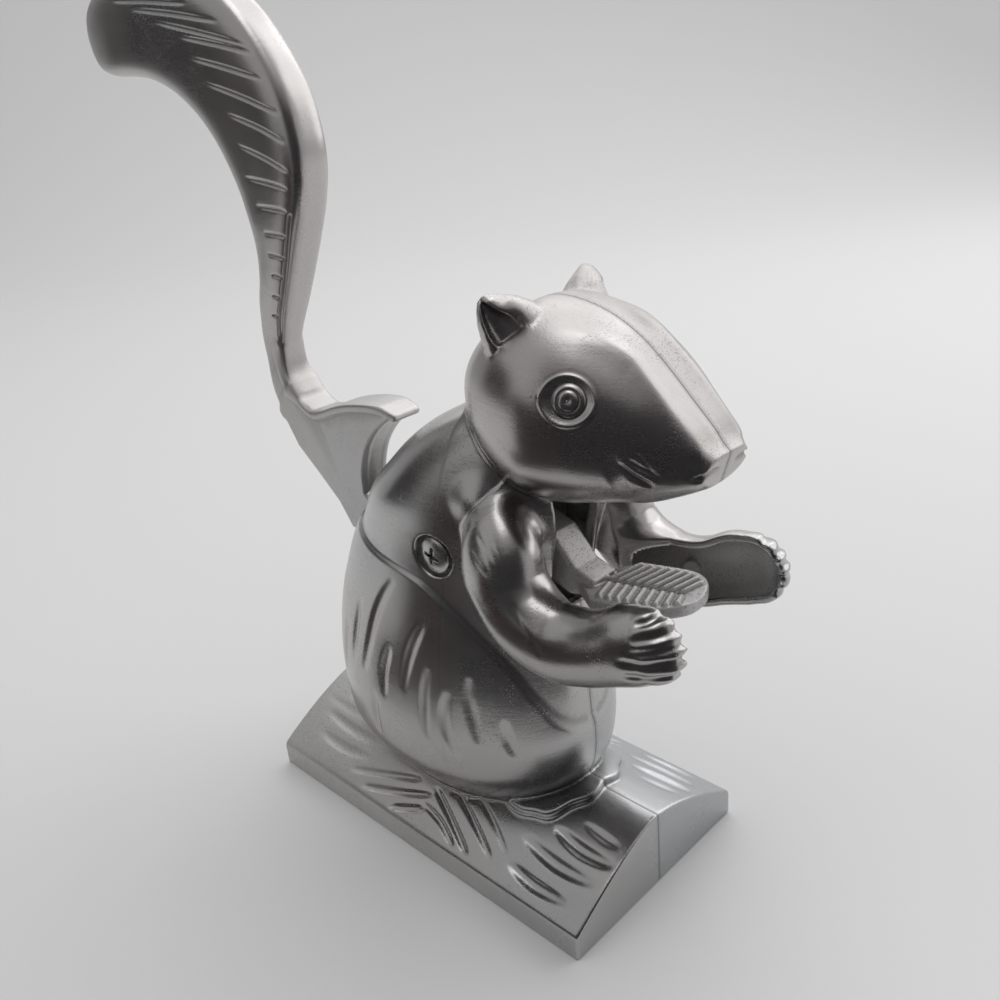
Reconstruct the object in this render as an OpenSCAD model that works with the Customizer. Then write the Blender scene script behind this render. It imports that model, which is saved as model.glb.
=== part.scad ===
// Lever nutcracker press in the form of a squirrel on a log.
// The squirrel faces -Y, its right side is -X and up is +Z. The two hollow halves of the body part on the
// plane x = 0, and the underside of the base lies on z = 0. The lever is drawn raised, as it rests.
// Sizes are in millimetres.

/* [Figure] */
// Size of the squirrel, in per cent of the outlines below
figure_size = 100; // [96:1:104]
// Wall of the hollow castings
wall = 3; // [2.4:0.1:3.6]
// Distance from the parting plane to each half
seam = 0.1; // [0.05:0.05:0.2]

/* [Base] */
// Length of the log base
base_length = 130; // [126:1:140]
// Width of the log base
base_width = 72; // [70:1:80]
// Height of the upright sides of the base
base_side = 8; // [6:0.5:10]
// Height of the base along its ridge
base_ridge = 24; // [23:0.5:26]

/* [Lever] */
// Width of the lever's hub along the pivot
hub_width = 11; // [9:0.5:12]
// Radius of the lever's hub
hub_radius = 9; // [8:0.5:10]
// Side play between the hub and each half
side_play = 0.6; // [0.4:0.1:1]
// Width of the plate that joins the hub to the tail
web_width = 10; // [9:0.5:11]
// Wall on each side of the channel in the plate
channel_wall = 2.4; // [2:0.1:3]
// Half width of the ribbed pad
pad_half = 11.5; // [10:0.5:12]
// Thickness of the pad
pad_thick = 3; // [2.5:0.1:4]
// Number of ribs on each side of the pad
pad_ribs = 9; // [7:1:10]

/* [Fasteners] */
// Diameter of the pivot screw's shank
pivot_d = 5; // [4.6:0.1:5.6]
// Diameter of the pivot screw's head
pivot_head_d = 10.4; // [9.6:0.1:11]
// Height of the pivot screw's head
pivot_head_h = 3.4; // [3:0.1:3.8]
// Size of the pivot nut across its flats
nut_af = 8; // [8:0.5:9]
// Diameter of the tie screw's shank
tie_d = 4; // [3.6:0.1:4.4]
// Diameter of the locating pins
pin_d = 3; // [2.6:0.1:3.6]
// Radial clearance of every bore on its pin or shank
bore_play = 0.05; // [0.03:0.01:0.08]

/* [Hidden] */
k = figure_size / 100;
around = 26;
cast_grey = [0.66, 0.67, 0.69];
steel_grey = [0.74, 0.75, 0.77];

// Pivot of the lever and axis of the tie screw, as [along Y, height]
pivot = [-12, 98.5];
tie = [10, 36];
// Locating pins, in the crown of the head and in the rear of the base
pins = [[-44, 156.5], [54, 14]];
pin_reach = 5;
// Heads and floors of the pivot's counterbores, from the parting plane
pivot_seat = 21.5;
washer_h = 1;
nut_h = 4;
hub_gap = hub_width / 2 + side_play;
boss_radius = 8.5;
counterbore_d = pivot_head_d + 1.8;
tie_seat = 25.5;
tie_head_d = 2 * tie_d;
tie_depth = 15;
// Metal round the tie screw and round the locating pins
tie_boss = tie_d + 2;
pin_boss = pin_d / 2 + 3;
// Play round a head in its counterbore, and past the end of a pin or a screw
head_play = 0.8;
end_play = 0.5;
// Reach of the plain blocks and bores that only have to pass the casting's outside
past = 60;

// Torso, from the log to the neck: height, centre along Y, half width, depth in front, depth behind
torso = [
    [12, 4, 19, 33, 39], [20, 4, 23.5, 38.5, 42.5], [30, 4, 27.5, 44, 45], [42, 4, 29.5, 46.8, 45.5],
    [55, 4, 30, 46.8, 45], [68, 3.5, 29.5, 45.5, 42.5], [80, 2.5, 28.3, 44, 39], [90, 1, 27, 42, 36.5],
    [100, -0.5, 26.5, 42, 32.5], [108, -3, 25, 41, 30], [115, -6.5, 23, 37, 26.5], [122, -11, 20, 31, 23.5],
    [128, -16, 17, 24, 20], [133, -21, 14, 17, 15.5],
    [137.5, -27, 10.5, 12, 12], [141, -32, 7, 8, 8]];
// Head, from its back to the nose: place along Y, centre height, half width, height above, depth below
head = [
    [-14, 141, 4, 4, 4], [-17, 141, 11, 10, 10], [-22, 141, 16, 15.5, 16], [-29, 140.5, 20.5, 21, 20.5],
    [-38, 140, 23.5, 25.2, 23.5], [-47, 139, 24.5, 26, 22.5], [-56, 137.5, 23, 25, 19],
    [-64, 136, 20, 22, 15.5], [-71, 134.5, 17, 17.5, 12.5], [-77, 133, 13.5, 13, 8.5],
    [-82, 132.5, 10.5, 8.5, 5.5], [-85, 132.5, 8, 4.5, 3], [-86, 132.5, 6, 2.5, 1.5]];
// Rounding of the log's top, from 1 for a flat roof to 2 for a low arch
log_round = 1.5;
// Arm, from the shoulder to the fingers: place along Y, height, radius across the arm, centre and half
// thickness along X
arm = [
    [-24, 114, 7, 16, 5], [-28.6, 110.5, 11.4, 19, 8], [-34.2, 103.2, 11.8, 21, 10],
    [-39, 96, 10.2, 22.5, 10], [-45, 90.6, 10.4, 23, 9.8], [-54, 88, 10.5, 23, 9],
    [-62, 89, 9.8, 22.5, 8.5], [-69, 91.5, 9.3, 22.5, 8],
    [-75.5, 94.5, 9.8, 22, 8], [-81.5, 96, 9.3, 21.5, 7.5], [-86, 96.5, 6.5, 21.5, 5.5],
    [-87.5, 96.5, 3, 21.5, 3]];
// Open inner side of the arm, seen from above: at the shoulder and at the hand, with its bend along Y
arm_inner = 13.5;
hand_inner = 20;
arm_bend = [-44, -56];
// Thigh: the torso swollen by this much inside its outline in the side view
thigh_swell = 1.2;
thigh_edge = [[60, 96], [22, 94.5], [2, 92], [-6, 90.4], [-12, 87.2], [-18, 82.8], [-24, 77.4], [-30, 70.6],
    [-35, 62.2], [-39, 53], [-46, 44], [-60, 38], [-60, 0], [60, 0]];
// Ear: middle of its base, and its axes outwards, to the front and up to the tip
ear_base = [13.7, -39.2, 160.5];
ear_axes = [[0.753, 0.438, -0.5], [0.622, -0.73, 0.297], [0.232, 0.529, 0.816]];
// Sections of the ear and of its cup: height, then middle and half size outwards and to the front
ear = [[-6, 0, 8.4, 0, 7.2], [0, 0, 8.1, 0, 6.8], [3, 0.5, 7.3, 0, 6], [6, 1.2, 5.7, 0, 4.6],
    [8.6, 1.9, 3.4, 0, 2.7], [10.2, 2.3, 1.5, 0, 1.2], [10.7, 2.4, 0.4, 0, 0.4]];
ear_cup = [[-1, 3, 3.7, 6, 7.2], [3, 3.5, 3.1, 5.5, 6.1], [6, 3.7, 2.2, 5, 5.2], [8.6, 3.3, 0.9, 3.5, 3.2]];
// Feet: a low slab on the log, with its middle along Y, its half width, half length and height over the log
foot_y = -29;
foot_half = [19, 18];
foot_rise = 2.5;
// Opening in the chest for the neck and the pad: half width, then its corners as [along Y, height]
chest_half = 8;
chest = [[-60, 84], [-28, 116.5]];
// Slot in the back for the lever's plate: side play, then its corners as [along Y, height]
slot_play = 1.5;
slot = [[8, 50], [68, 107]];

// Tail above the body: front edge, rear edge and half width
tail = [
    [[158, 232], [158, 226], 3], [[152, 240], [151, 221], 6], [[140, 246], [142, 219], 7.5],
    [[122, 249], [131, 218.5], 8], [[104, 249], [119, 217], 8], [[87, 245], [107, 213], 8],
    [[71, 237], [97, 207], 8], [[60, 227], [89.5, 200], 8], [[51, 214], [84, 192], 8],
    [[47.5, 202], [80, 184], 8], [[47.5, 192], [77.5, 175.5], 8], [[50.5, 182], [77, 167.5], 8],
    [[55.5, 172], [78.5, 160], 7.5], [[61, 161.5], [81.5, 153], 7], [[66.5, 151.5], [83.5, 146], 6],
    [[71.5, 142], [84.5, 140], 5], [[73.5, 135], [84, 132], 4.8], [[73, 129], [83, 122], 5.2],
    [[68.5, 123.5], [79, 113], 5]];
// Flange along the top of the sail-shaped plate, and the hollow front edge below its tip
flange = [[71, 126], [67, 121.6], [61.5, 119.2], [56, 120.3], [49, 123], [42, 125], [34, 126.4], [27, 126.8],
    [22, 125.4]];
flange_thick = 2.4;
flange_over = 1;
front_arc = [[24.5, 123], [30, 119], [35, 113.6], [38, 108.5], [40, 102.5], [40.5, 96]];
channel_floor = [[28, 92], [32, 106], [26, 117], [20, 122]];
plate_top = [[34, 90], [20, 95], [4, 102], [-8, 107]];
plate_bottom = [[-14, 90], [4, 86], [22, 79], [36, 72.5], [44, 73.5], [50, 82], [55, 89.5], [64, 97.5],
    [73, 105], [79.5, 116]];
// Neck between the hub and the pad, and the crease of the pad from its root to its tip
neck = [[-12, 107], [-28, 107], [-37, 104], [-44, 96], [-50, 94], [-50, 90], [-42, 88], [-30, 92], [-14, 90]];
pad_root = [-46, 91.5];
pad_tip = [-78.5, 96.8];
pad_dish = 1.4;
// Ribs of the pad: slant, height, width, pitch, place of the first, and stagger between the two sides
rib_slant = 20;
rib_h = 0.8;
rib_wide = 1.3;
rib_pitch = 2.7;
rib_start = 5.5;
rib_stagger = 0.6;

function power(v, p) = sign(v) * pow(abs(v), p);
function curve(a, b, c, d, t) =
    0.5 * (2 * b + (c - a) * t + (2 * a - 5 * b + 4 * c - d) * t * t + (3 * b - a - 3 * c + d) * t * t * t);
// Smooth run through a list of stations, with each span cut into parts
function smooth(s, parts) = let (last = len(s) - 1) concat(
    [for (i = [0 : last - 1], j = [0 : parts - 1])
        curve(s[max(0, i - 1)], s[i], s[i + 1], s[min(last, i + 2)], j / parts)],
    [s[last]]);
function middle(ring) = [for (j = [0 : 2]) [for (p = ring) p[j]] * [for (p = ring) 1] / len(ring)];
// Height of the log's top at a distance from the ridge
function log_top(x, w) = let (out = min(1, abs(x) / (base_width / 2)))
    base_side - w + (base_ridge - base_side) * (1 - pow(out, log_round));

function torso_ring(s, w) = [for (i = [0 : around - 1]) let (t = 360 * i / around)
    [(s[2] - w) * power(cos(t), 0.95), s[1] + ((sin(t) < 0 ? s[3] : s[4]) - w) * power(sin(t), 0.95), s[0]]];
function head_ring(s, w) = [for (i = [0 : around - 1]) let (t = 360 * i / around)
    [(s[2] - w) * power(cos(t), 0.9), s[0], s[1] + ((sin(t) < 0 ? s[4] : s[3]) - w) * power(sin(t), 0.9)]];
// Ring of the arm, or of its hollow, which runs out through the arm's inner side
function arm_ring(s, run, w) = let (across = [0, run[1], -run[0]] / norm([run[0], run[1]]))
    [for (i = [0 : 15]) let (t = 360 * i / 16, open = w > 0 && cos(t) < 0)
        [s[3] + (open ? (s[3] - arm_inner + 2) * power(cos(t), 0.3) : (s[4] - w) * cos(t)), s[0], s[1]]
            + across * (s[2] - w) * sin(t)];
function ear_ring(s) = [for (i = [0 : 9]) let (t = 36 * i)
    ear_base + [s[1] + s[2] * cos(t), s[3] - s[4] * sin(t), s[0]] * ear_axes];
function tail_ring(s) = let (c = (s[0] + s[1]) / 2, h = (s[0] - s[1]) / 2)
    [for (i = [0 : 17]) let (t = 360 * i / 18)
        [s[2] * power(cos(t), 0.55), c[0] + h[0] * power(sin(t), 0.7), c[1] + h[1] * power(sin(t), 0.7)]];
// Half width of the pad as a share of the full one, from its root to its rounded tip
function pad_share(t) =
    t < 0.25 ? 0.45 + 2.2 * t : t < 0.6 ? 1 : sqrt(max(0.02, 1 - pow((t - 0.6) / 0.42, 2.4)));
function pad_ring(t) = let (
    wide = pad_half * pad_share(t),
    at = pad_root + (pad_tip - pad_root) * t)
    [for (x = [wide, wide / 2, 0, -wide / 2, -wide]) [x, at[0], at[1] + pad_dish * abs(x) / pad_half],
        for (x = [-0.9 * wide, 0, 0.9 * wide]) [x, at[0], at[1] - pad_thick]];

// Skin over a list of rings that all have the same number of points
module skin(rings) {
    n = len(rings[0]);
    last = len(rings) - 1;
    points = concat([for (r = rings, p = r) k * p], [k * middle(rings[0]), k * middle(rings[last])]);
    start = n * (last + 1);
    sides = [for (i = [0 : last - 1], j = [0 : n - 1]) let (a = i * n + j, b = i * n + (j + 1) % n)
        each [[a, b + n, b], [a, a + n, b + n]]];
    caps = [for (j = [0 : n - 1]) let (b = (j + 1) % n)
        each [[start, j, b], [start + 1, last * n + b, last * n + j]]];
    polyhedron(points = points, faces = concat(sides, caps));
}

// Plate drawn in the side view and centred on the parting plane
module side_plate(points, width) {
    rotate([90, 0, 90])
        translate([0, 0, -width / 2])
            linear_extrude(width)
                polygon(k * points);
}

// Round bar or bore along X from one distance to another
module along_x(at, from, to, r, sides = 32) {
    translate([from, k * at[0], k * at[1]])
        rotate([0, 90, 0])
            cylinder(h = to - from, r = r, $fn = sides);
}

module torso_skin(w) {
    skin([for (s = smooth(torso, 2)) torso_ring(s, w)]);
}

module head_skin(w) {
    skin([for (s = smooth(head, 2)) if (min(s[2], s[3], s[4]) > 1.8 * w) head_ring(s, w)]);
}

module arm_skin(w) {
    s = smooth(arm, 2);
    last = len(s) - 1;
    skin([for (i = [0 : last]) if (min(s[i][2], s[i][4]) > 1.8 * w)
        arm_ring(s[i], s[min(last, i + 1)] - s[max(0, i - 1)], w)]);
}

module thigh() {
    intersection() {
        torso_skin(-thigh_swell);
        side_plate(thigh_edge, 2 * past);
    }
}

module ear_solid() {
    difference() {
        skin([for (s = ear) ear_ring(s)]);
        skin([for (s = ear_cup) ear_ring(s)]);
    }
}

module foot() {
    half = foot_half[0] + 1;
    top = [for (i = [-4 : 4]) [half * i / 4, log_top(half * i / 4, 0) + foot_rise]];
    intersection() {
        translate([0, k * foot_y, 0])
            scale(k * [foot_half[0], foot_half[1], 1])
                cylinder(h = past, r = 1, $fn = 24);
        rotate([90, 0, 0])
            linear_extrude(past)
                polygon(concat([[-half, 0]], top, [[half, 0]]));
    }
}

// Log base less a wall all round
module log_base(w) {
    half = base_width / 2 - w;
    top = [for (i = [-10 : 10]) [half * i / 10, log_top(half * i / 10, w)]];
    rotate([90, 0, 0])
        translate([0, 0, -base_length / 2 + w])
            linear_extrude(base_length - 2 * w)
                polygon(concat([[-half, -1]], top, [[half, -1]]));
}

// One half of the body without its bores, on the +X side
module half_casting() {
    // The resize keeps the size and gives one mesh for the free-form shape
    resize([0, 0, 0])
        intersection() {
            translate([seam, -2 * past, 0])
                cube([past, 4 * past, 4 * past]);
            difference() {
                union() {
                    difference() {
                        union() {
                            torso_skin(0);
                            thigh();
                            head_skin(0);
                            ear_solid();
                            foot();
                            log_base(0);
                        }
                        torso_skin(wall);
                        head_skin(wall);
                        log_base(wall);
                    }
                    intersection() {
                        arm_skin(0);
                        translate([0, 0, past])
                            linear_extrude(past + 10)
                                polygon(k * [[arm_inner, 0], [arm_inner, arm_bend[0]],
                                    [hand_inner, arm_bend[1]], [hand_inner, -2 * past],
                                    [past, -2 * past], [past, 0]]);
                    }
                    intersection() {
                        union() {
                            torso_skin(wall / 2);
                            head_skin(wall / 2);
                            log_base(wall / 2);
                        }
                        union() {
                            along_x(pivot, hub_gap, past, boss_radius);
                            along_x(tie, seam, past, tie_boss);
                            for (at = pins)
                                along_x(at, seam, past, pin_boss);
                        }
                    }
                }
                arm_skin(wall);
                chest_opening();
                back_slot();
            }
        }
}

// Opening in the chest that the lever's neck and pad pass through
module chest_opening() {
    translate([-chest_half, k * chest[0][0], k * chest[0][1]])
        cube([2 * chest_half, k * (chest[1][0] - chest[0][0]), k * (chest[1][1] - chest[0][1])]);
}

// Slot in the back that the lever's plate passes through
module back_slot() {
    half = web_width / 2 + slot_play;
    translate([-half, k * slot[0][0], k * slot[0][1]])
        cube([2 * half, k * (slot[1][0] - slot[0][0]), k * (slot[1][1] - slot[0][1])]);
}

// One half with the bores that both halves have
module body_half() {
    difference() {
        half_casting();
        along_x(pivot, 0, past, pivot_d / 2 + bore_play);
        along_x(pivot, pivot_seat, past, counterbore_d / 2);
        for (at = pins)
            along_x(at, 0, pin_reach + end_play, pin_d / 2 + bore_play);
        children();
    }
}

module body_right() {
    color(cast_grey)
        mirror([1, 0, 0])
            body_half()
                along_x(tie, 0, tie_depth, tie_d / 2 + bore_play);
}

module body_left() {
    color(cast_grey)
        body_half() {
            along_x(tie, 0, past, tie_d / 2 + bore_play);
            along_x(tie, tie_seat, past, tie_head_d / 2 + head_play);
        }
}

module pad() {
    skin([for (t = [0 : 0.1 : 1]) pad_ring(t)]);
    intersection() {
        skin([for (t = [0 : 0.1 : 0.9]) [for (p = pad_ring(t)) p + [0, 0, rib_h]]]);
        for (side = [-1, 1], i = [0 : pad_ribs - 1])
            translate(k * [side * pad_half / 2, pad_root[0] - rib_start - rib_pitch * i + side * rib_stagger,
                pad_root[1]])
                rotate([0, 0, rib_slant])
                    cube([pad_half * 1.1, rib_wide, 4 * pad_half], center = true);
    }
}

// Lever casting without its bore
module lever_casting() {
    top = smooth(flange, 2);
    under = [for (i = [len(flange) - 1 : -1 : 0]) flange[i] + [0, -flange_thick]];
    // The resize keeps the size and gives one mesh for the free-form shape
    resize([0, 0, 0])
        union() {
            skin([for (s = smooth(tail, 2)) tail_ring(s)]);
            side_plate(concat(top, under), web_width + 2 * flange_over);
            difference() {
                side_plate(concat(flange, smooth(front_arc, 2), plate_top, plate_bottom), web_width);
                side_plate(concat(smooth(front_arc, 2), channel_floor), web_width - 2 * channel_wall);
            }
            side_plate(neck, web_width);
            pad();
            along_x(pivot, -hub_width / 2, hub_width / 2, hub_radius);
        }
}

module tail_lever() {
    color(cast_grey)
        difference() {
            lever_casting();
            along_x(pivot, -past, past, pivot_d / 2 + bore_play);
        }
}

// Pan head with a cross recess, its seat on x = 0 and its shank towards +X
module pan_screw(shank_d, shank_length, head_d, head_h) {
    rotate([0, 90, 0])
        difference() {
            union() {
                cylinder(h = shank_length, r = shank_d / 2, $fn = 48);
                translate([0, 0, -head_h * 0.45])
                    cylinder(h = head_h * 0.45, r = head_d / 2, $fn = 48);
                translate([0, 0, -head_h])
                    cylinder(h = head_h * 0.55, r1 = head_d * 0.36, r2 = head_d / 2, $fn = 48);
            }
            for (turn = [0, 90])
                rotate([0, 0, turn])
                    translate([-head_d * 0.28, -head_d * 0.06, -head_h - 0.1])
                        cube([head_d * 0.56, head_d * 0.12, head_h * 0.6]);
        }
}

module pivot_screw() {
    color(steel_grey)
        translate([-pivot_seat, k * pivot[0], k * pivot[1]])
            pan_screw(pivot_d, 2 * pivot_seat + washer_h + nut_h + end_play, pivot_head_d, pivot_head_h);
}

module pivot_washer() {
    color(steel_grey)
        difference() {
            along_x(pivot, pivot_seat, pivot_seat + washer_h, pivot_d);
            along_x(pivot, pivot_seat - 1, pivot_seat + washer_h + 1, pivot_d / 2 + bore_play);
        }
}

module pivot_nut() {
    inner = pivot_seat + washer_h;
    color(steel_grey)
        difference() {
            along_x(pivot, inner, inner + nut_h, nut_af / sqrt(3), 6);
            along_x(pivot, inner - 1, inner + nut_h + 1, pivot_d / 2 + bore_play);
        }
}

module tie_screw() {
    color(steel_grey)
        translate([tie_seat, k * tie[0], k * tie[1]])
            mirror([1, 0, 0])
                pan_screw(tie_d, tie_seat + tie_depth - end_play, tie_head_d, tie_d * 0.65);
}

module locating_pins() {
    color(steel_grey)
        for (at = pins)
            along_x(at, -pin_reach, pin_reach, pin_d / 2);
}

body_right();
body_left();
tail_lever();
pivot_screw();
pivot_washer();
pivot_nut();
tie_screw();
locating_pins();
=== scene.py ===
import math
import bpy
import numpy as np
from mathutils import Matrix, Vector


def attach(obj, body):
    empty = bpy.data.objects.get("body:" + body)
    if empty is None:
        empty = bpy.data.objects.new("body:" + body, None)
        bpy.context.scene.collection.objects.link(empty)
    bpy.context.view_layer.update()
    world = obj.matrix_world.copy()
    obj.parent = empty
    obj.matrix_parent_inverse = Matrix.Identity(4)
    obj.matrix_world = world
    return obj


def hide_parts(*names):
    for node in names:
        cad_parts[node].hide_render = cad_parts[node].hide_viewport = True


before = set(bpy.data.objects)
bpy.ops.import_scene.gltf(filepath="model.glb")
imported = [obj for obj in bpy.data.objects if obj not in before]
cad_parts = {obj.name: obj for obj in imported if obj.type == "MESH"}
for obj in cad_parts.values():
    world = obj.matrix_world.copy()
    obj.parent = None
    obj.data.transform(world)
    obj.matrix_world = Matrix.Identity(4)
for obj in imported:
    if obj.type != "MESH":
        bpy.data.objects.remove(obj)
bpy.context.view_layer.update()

# Lengths are in mm up to where meshes are made. Steps of the grids: castings, fasteners and washer
STEP = 0.5
FINE = 0.12
FINEST = 0.1
MM = 0.001
# From the middle plane to each half, and the wall of the halves and of their arms
SEAM = 0.1
WALL = 3.0
ARM_WALL = 2.1
# Axes of the screws and pins, along Y and in height, with the radii of their bores and bosses
PIVOT = (-12.0, 98.5)
TIE = (10.0, 36.0)
PINS = ((-44, 156.5), (54, 14))
PIVOT_BORE, TIE_BORE, PIN_BORE = 2.55, 2.05, 1.55
PIVOT_BOSS, TIE_BOSS, PIN_BOSS = 8.5, 6, 4.5
# Where the heads sit, from the middle plane, and the washer's thickness
PIVOT_SEAT, TIE_SEAT = 21.5, 25.5
WASHER = 1.0
# Log: half width, half length, height of its edge and rise of its crown
LOG_WIDE, LOG_LONG, LOG_EDGE, LOG_RISE = 36, 65, 8, 16
# Each half is made as two meshes, parted at this height, just under the elbow
PARTED = 84


# ---------------------------------------------------------------- distance fields

def smooth_run(stations, parts=8):
    """Catmull-Rom run through a list of stations."""
    s = np.array(stations, float)
    last = len(s) - 1
    out = []
    for i in range(last):
        a, b, c, d = s[max(0, i - 1)], s[i], s[i + 1], s[min(last, i + 2)]
        for t in np.arange(parts) / parts:
            out.append(0.5 * (2 * b + (c - a) * t + (2 * a - 5 * b + 4 * c - d) * t * t
                              + (3 * b - a - 3 * c + d) * t ** 3))
    out.append(s[last])
    return np.array(out)


def smin(a, b, k):
    """The lesser of two fields, blended over k."""
    h = np.clip(0.5 + 0.5 * (b - a) / k, 0, 1)
    return b + (a - b) * h - k * h * (1 - h)


def smax(a, b, k):
    """The greater of two fields, blended over k."""
    return -smin(-a, -b, k)


def step01(v, low, high):
    """Eases from 0 at low to 1 at high."""
    t = np.clip((v - low) / (high - low), 0, 1)
    return t * t * (3 - 2 * t)


class Grid:
    """A box of sample points, with helpers to read a field anywhere in it."""

    def __init__(self, low, high, h):
        self.h = h
        self.low = np.array(low, float)
        n = np.ceil((np.array(high) - self.low) / h).astype(int) + 1
        ax = [(self.low[i] + h * np.arange(n[i])).astype(np.float32) for i in range(3)]
        self.x, self.y, self.z = ax[0][:, None, None], ax[1][None, :, None], ax[2][None, None, :]

    def unit(self, f):
        """A field scaled so that it reads as a distance near its surface."""
        gx, gy, gz = np.gradient(f.astype(np.float32), np.float32(self.h))
        return f / np.maximum(np.sqrt(gx * gx + gy * gy + gz * gz), 1e-4)

    def near(self, points, margin):
        """Slices of the grid round some points, and the three coordinates there."""
        p = np.array(points)
        lo = np.floor((p.min(0) - margin - self.low) / self.h).astype(int)
        hi = np.ceil((p.max(0) + margin - self.low) / self.h).astype(int) + 1
        n = (self.x.size, self.y.size, self.z.size)
        s = tuple(slice(max(0, lo[i]), min(n[i], max(1, hi[i]))) for i in range(3))
        return s, self.x[s[0]], self.y[:, s[1]], self.z[:, :, s[2]]

    def read(self, fields, points):
        """Trilinear values of some fields at points."""
        shape = np.array(fields[0].shape)
        c = (np.asarray(points) - self.low) / self.h
        i = np.clip(np.floor(c).astype(int), 0, shape - 2)
        t = np.clip(c - i, 0, 1)
        flat = (i[:, 0] * shape[1] + i[:, 1]) * shape[2] + i[:, 2]
        out = [np.zeros(len(c)) for f in fields]
        for dx, dy, dz in np.ndindex(2, 2, 2):
            w = ((t[:, 0] if dx else 1 - t[:, 0]) * (t[:, 1] if dy else 1 - t[:, 1])
                 * (t[:, 2] if dz else 1 - t[:, 2]))
            k = flat + (dx * shape[1] + dy) * shape[2] + dz
            for o, f in zip(out, fields):
                o += w * f.ravel()[k]
        return out

    def seat(self, field, points, times=6):
        """Moves points on to the surface of a field."""
        p = np.array(points, float)
        e = self.h * 0.5
        for _ in range(times):
            v = self.read([field], p)[0]
            g = np.stack([self.read([field], p + d)[0] - self.read([field], p - d)[0]
                          for d in np.eye(3) * e], 1) / (2 * e)
            p -= g * np.clip(v / np.maximum((g * g).sum(1), 0.05), -2, 2)[:, None]
        return p, g / np.maximum(np.linalg.norm(g, axis=1), 1e-6)[:, None]

    def groove(self, field, points, width, depth, soft=0.25, ends=4.0):
        """Cuts a groove along points on the surface; ends is 2 for a pointed leaf, more for a line."""
        line, n = self.seat(field, smooth_run(points, 5))
        r = (width * width / 4 + depth * depth) / (2 * depth)
        t = np.linspace(0, 1, len(line))
        taper = 1 - np.abs(2 * t - 1) ** ends
        line = line + n * (r - depth * np.maximum(taper, 0.02))[:, None]
        s, x, y, z = self.near(line, r + 1.5)
        best = np.full(np.broadcast_shapes(x.shape, y.shape, z.shape), 1e3, np.float32)
        for a, b in zip(line[:-1], line[1:]):
            d = b - a
            h = ((x - a[0]) * d[0] + (y - a[1]) * d[1] + (z - a[2]) * d[2]) / max(d @ d, 1e-9)
            h = np.clip(h, 0, 1)
            q = np.sqrt((x - a[0] - h * d[0]) ** 2 + (y - a[1] - h * d[1]) ** 2 + (z - a[2] - h * d[2]) ** 2)
            best = np.minimum(best, q)
        field[s] = smax(field[s], r - best, soft)


def along(u, v, line):
    """Nearest place on a flat line: its distance, and the place from 0 to the last station."""
    best = np.full(np.broadcast_shapes(u.shape, v.shape), 1e9)
    place = np.zeros_like(best)
    for i, (a, b) in enumerate(zip(line[:-1], line[1:])):
        d = b - a
        h = np.clip(((u - a[0]) * d[0] + (v - a[1]) * d[1]) / max(d @ d, 1e-9), 0, 1)
        q = np.hypot(u - a[0] - h * d[0], v - a[1] - h * d[1])
        m = q < best
        best = np.where(m, q, best)
        place = np.where(m, i + h, place)
    return best, place


def outline(u, v, points):
    """Signed distance to a closed flat outline, negative inside."""
    p = np.array(points, float)
    best = np.full(np.broadcast_shapes(u.shape, v.shape), 1e9)
    inside = np.zeros(best.shape, bool)
    for a, b in zip(p, np.roll(p, -1, 0)):
        d = b - a
        h = np.clip(((u - a[0]) * d[0] + (v - a[1]) * d[1]) / max(d @ d, 1e-9), 0, 1)
        best = np.minimum(best, np.hypot(u - a[0] - h * d[0], v - a[1] - h * d[1]))
        if a[1] != b[1]:
            cross = (a[1] > v) != (b[1] > v)
            inside ^= cross & (u < (b[0] - a[0]) * (v - a[1]) / (b[1] - a[1]) + a[0])
    return np.where(inside, -best, best)


def widen(flat):
    """A flat field of the side view, carried through the width."""
    return flat.astype(np.float32)[None]


def off_axis(axis, y, z):
    """Distance from an axis that runs along X."""
    return np.hypot(y - axis[0], z - axis[1])


def log_top(x):
    """Height of the log's round top."""
    return LOG_EDGE + LOG_RISE * (1 - np.minimum(1, np.abs(x) / LOG_WIDE) ** 1.5)


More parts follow.
